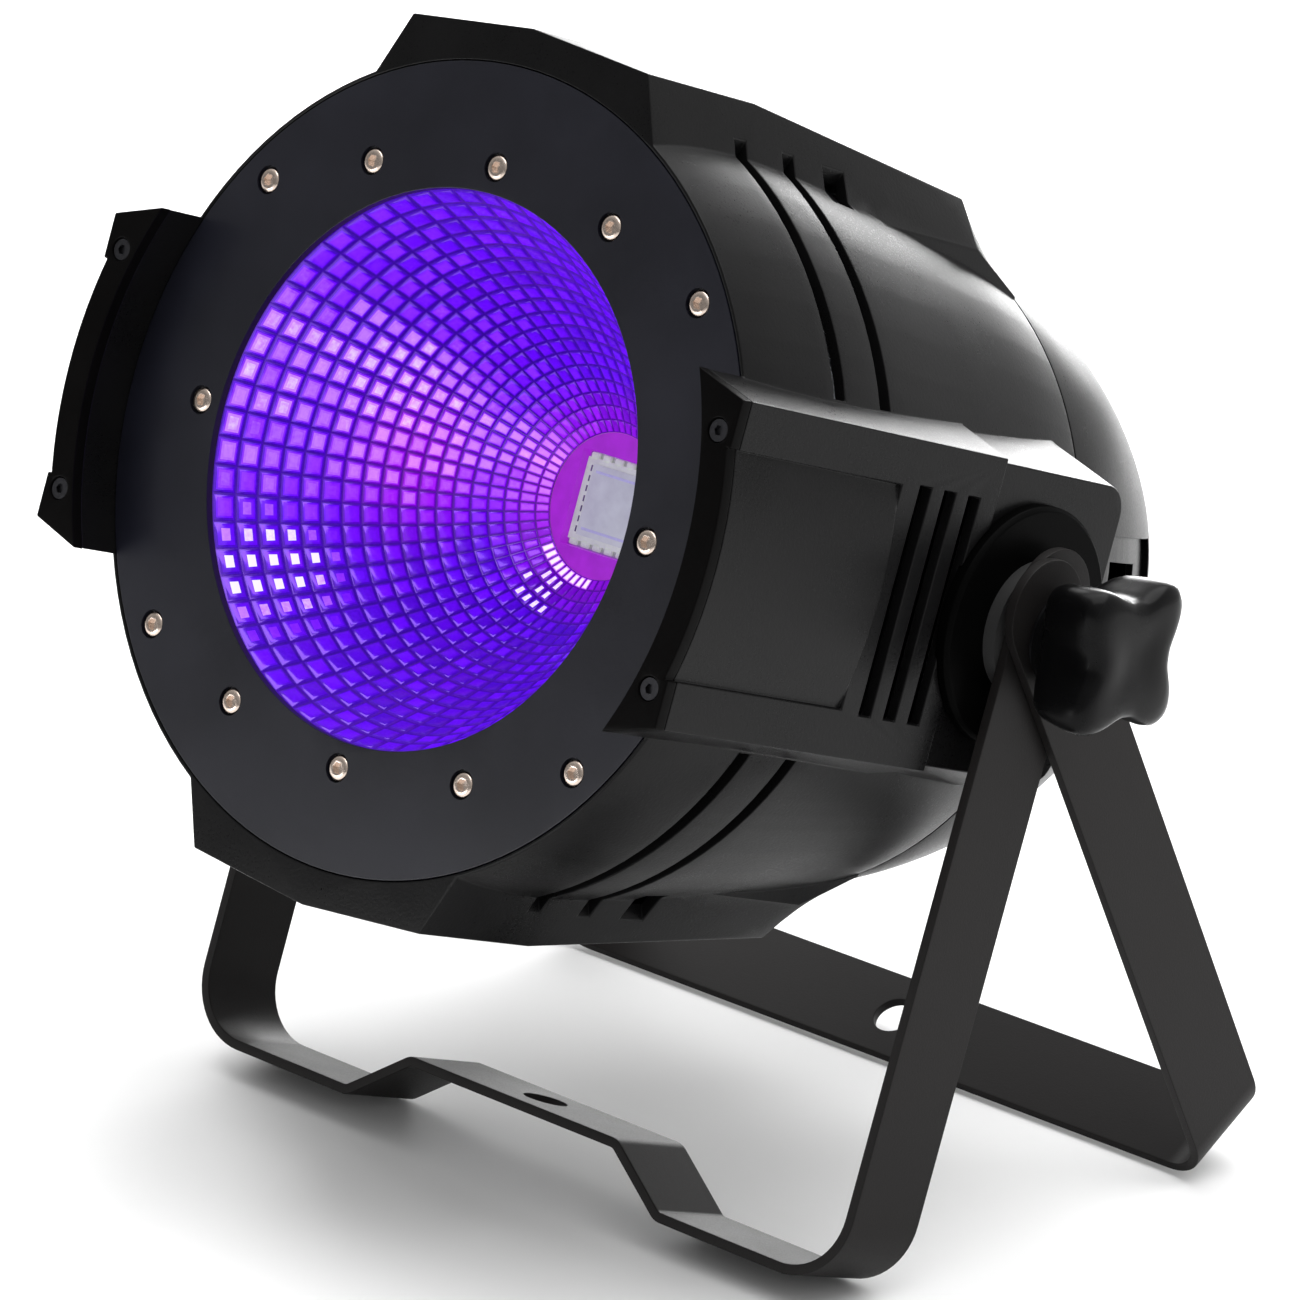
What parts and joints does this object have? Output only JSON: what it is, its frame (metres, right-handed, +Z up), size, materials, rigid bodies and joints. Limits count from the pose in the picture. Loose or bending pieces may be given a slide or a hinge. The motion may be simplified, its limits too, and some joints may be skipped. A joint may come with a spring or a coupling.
{
  "type": "led par can stage light",
  "caption": "Cast par stage lamp with a faceted round reflector, a chip light source, side pods and two U brackets clamped by lobed knobs.",
  "frame": {"origin": "on the floor, under the middle of the bounding box", "axes": "+Z up; +X to the right seen from the front; -Y towards the front, where the light comes out; the optical axis points 17.2 degrees upwards"},
  "size_m": [0.3196, 0.2904, 0.3396],
  "materials": {
    "cast_black": "satin black paint on cast aluminium",
    "bezel": "satin black paint with a cold tone",
    "bracket": "matt dark paint on steel",
    "reflector": "faceted bright metal",
    "screw": "bright zinc",
    "dark_screw": "black oxide",
    "steel": "plain",
    "aluminium": "plain extruded",
    "ceramic": "matt ceramic",
    "phosphor": "matt resin",
    "black_plastic": "satin",
    "grey_plastic": "matt",
    "board": "satin solder mask",
    "window": "gloss",
    "blue_socket": "satin",
    "light_socket": "satin",
    "brass": "plain"
  },
  "bodies": {
    "head": {"front_housing": "cast_black", "rear_cover": "cast_black", "seam_screws": "dark_screw", "bezel_ring": "bezel", "bezel_screws": "screw", "reflector": "reflector", "pod_plate_screws": "dark_screw", "cob_board": "ceramic", "cob_emitter": "phosphor", "cob_holder": "grey_plastic", "cob_screws": "steel", "heatsink": "aluminium", "heatsink_screws": "steel", "fan_frame": "black_plastic", "fan_screws": "steel", "chassis_plate": "steel", "chassis_screws": "steel", "driver": "aluminium", "driver_screws": "steel", "rear_panel": "cast_black", "rear_panel_screws": "dark_screw", "control_board": "board", "board_spacers": "brass", "display_module": "window", "data_in_socket": "black_plastic", "data_out_socket": "black_plastic", "power_in_socket": "blue_socket", "power_out_socket": "light_socket", "socket_screws": "dark_screw", "fuse_holder": "black_plastic", "safety_eye": "steel", "safety_eye_nut": "steel", "left_pod_plate": "bezel", "left_pivot_disc": "cast_black", "left_pivot_spacer": "black_plastic", "left_thread_insert": "brass", "right_pod_plate": "bezel", "right_pivot_disc": "cast_black", "right_pivot_spacer": "black_plastic", "right_thread_insert": "brass"},
    "front_bracket": {"front_bracket": "bracket"},
    "rear_bracket": {"rear_bracket": "bracket"},
    "fan": {"fan_rotor": "black_plastic"},
    "fuse_cap": {"fuse_cap": "black_plastic"},
    "latch": {"data_out_latch": "steel"},
    "left_knob": {"left_knob": "black_plastic", "left_knob_stud": "steel", "left_clamp_washer": "steel"},
    "right_knob": {"right_knob": "black_plastic", "right_knob_stud": "steel", "right_clamp_washer": "steel"},
    "button_menu": {"button_menu": "grey_plastic"},
    "button_down": {"button_down": "grey_plastic"},
    "button_up": {"button_up": "grey_plastic"},
    "button_enter": {"button_enter": "grey_plastic"}
  },
  "joints": [
    {"name": "front_bracket_pivot", "type": "hinge", "parent": "head", "child": "front_bracket", "pos_m": [0, 0.00964, 0.18545], "axis": [1, 0, 0], "range_deg": [-34, 168]},
    {"name": "rear_bracket_pivot", "type": "hinge", "parent": "head", "child": "rear_bracket", "pos_m": [0, 0.00964, 0.18545], "axis": [1, 0, 0], "range_deg": [-84, 120]},
    {"name": "left_knob_turn", "type": "hinge", "parent": "head", "child": "left_knob", "pos_m": [0, 0.00964, 0.18545], "axis": [1, 0, 0], "range_deg": [-180, 0]},
    {"name": "right_knob_turn", "type": "hinge", "parent": "head", "child": "right_knob", "pos_m": [0, 0.00964, 0.18545], "axis": [1, 0, 0], "range_deg": [0, 180]},
    {"name": "fan_spin", "type": "hinge", "parent": "head", "child": "fan", "pos_m": [0, 0.01537, 0.18367], "axis": [0, 0.9552, -0.296], "continuous": true},
    {"name": "fuse_cap_turn", "type": "hinge", "parent": "head", "child": "fuse_cap", "pos_m": [0.022, 0.11234, 0.10809], "axis": [0, 0.9552, -0.296], "range_deg": [0, 60]},
    {"name": "latch_press", "type": "slide", "parent": "head", "child": "latch", "axis": [0, -0.9552, 0.296], "range_m": [0, 0.0015], "stiffness_N_per_m": 2000, "springref_m": -0.0005},
    {"name": "button_menu_press", "type": "slide", "parent": "head", "child": "button_menu", "axis": [0, -0.9552, 0.296], "range_m": [0, 0.0008], "stiffness_N_per_m": 2000, "springref_m": -0.0005},
    {"name": "button_down_press", "type": "slide", "parent": "head", "child": "button_down", "axis": [0, -0.9552, 0.296], "range_m": [0, 0.0008], "stiffness_N_per_m": 2000, "springref_m": -0.0005},
    {"name": "button_up_press", "type": "slide", "parent": "head", "child": "button_up", "axis": [0, -0.9552, 0.296], "range_m": [0, 0.0008], "stiffness_N_per_m": 2000, "springref_m": -0.0005},
    {"name": "button_enter_press", "type": "slide", "parent": "head", "child": "button_enter", "axis": [0, -0.9552, 0.296], "range_m": [0, 0.0008], "stiffness_N_per_m": 2000, "springref_m": -0.0005}
  ]
}
